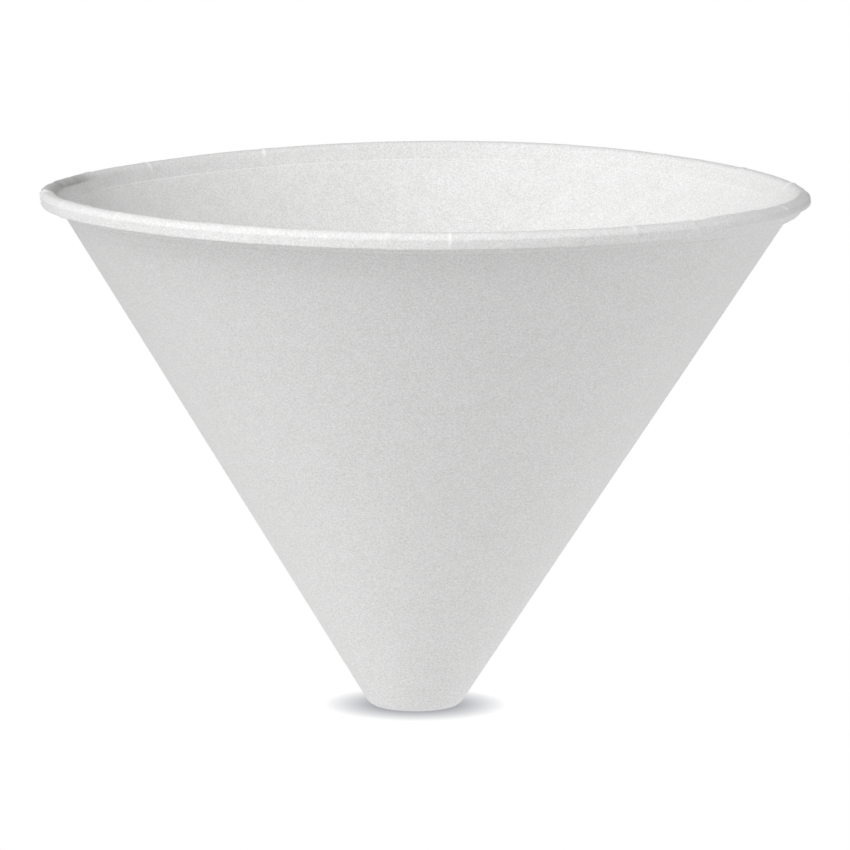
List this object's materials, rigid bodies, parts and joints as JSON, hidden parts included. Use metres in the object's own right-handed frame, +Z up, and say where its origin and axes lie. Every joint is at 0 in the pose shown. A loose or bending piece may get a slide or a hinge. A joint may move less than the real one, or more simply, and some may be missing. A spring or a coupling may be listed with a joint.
{
  "type": "cone paper cup",
  "caption": "Wide paper cone cup with a rolled rim and a small flat bottom, folded from one plain white sheet and lapped down one side.",
  "frame": {"origin": "middle of the flat bottom's underside, which is on the table", "axes": "+Z up the cup's axis towards the open rim, -X towards the glued lap"},
  "size_m": [0.118, 0.118, 0.0805],
  "materials": {
    "paper": "matte"
  },
  "bodies": {
    "root": {"cup": "paper"}
  },
  "joints": []
}
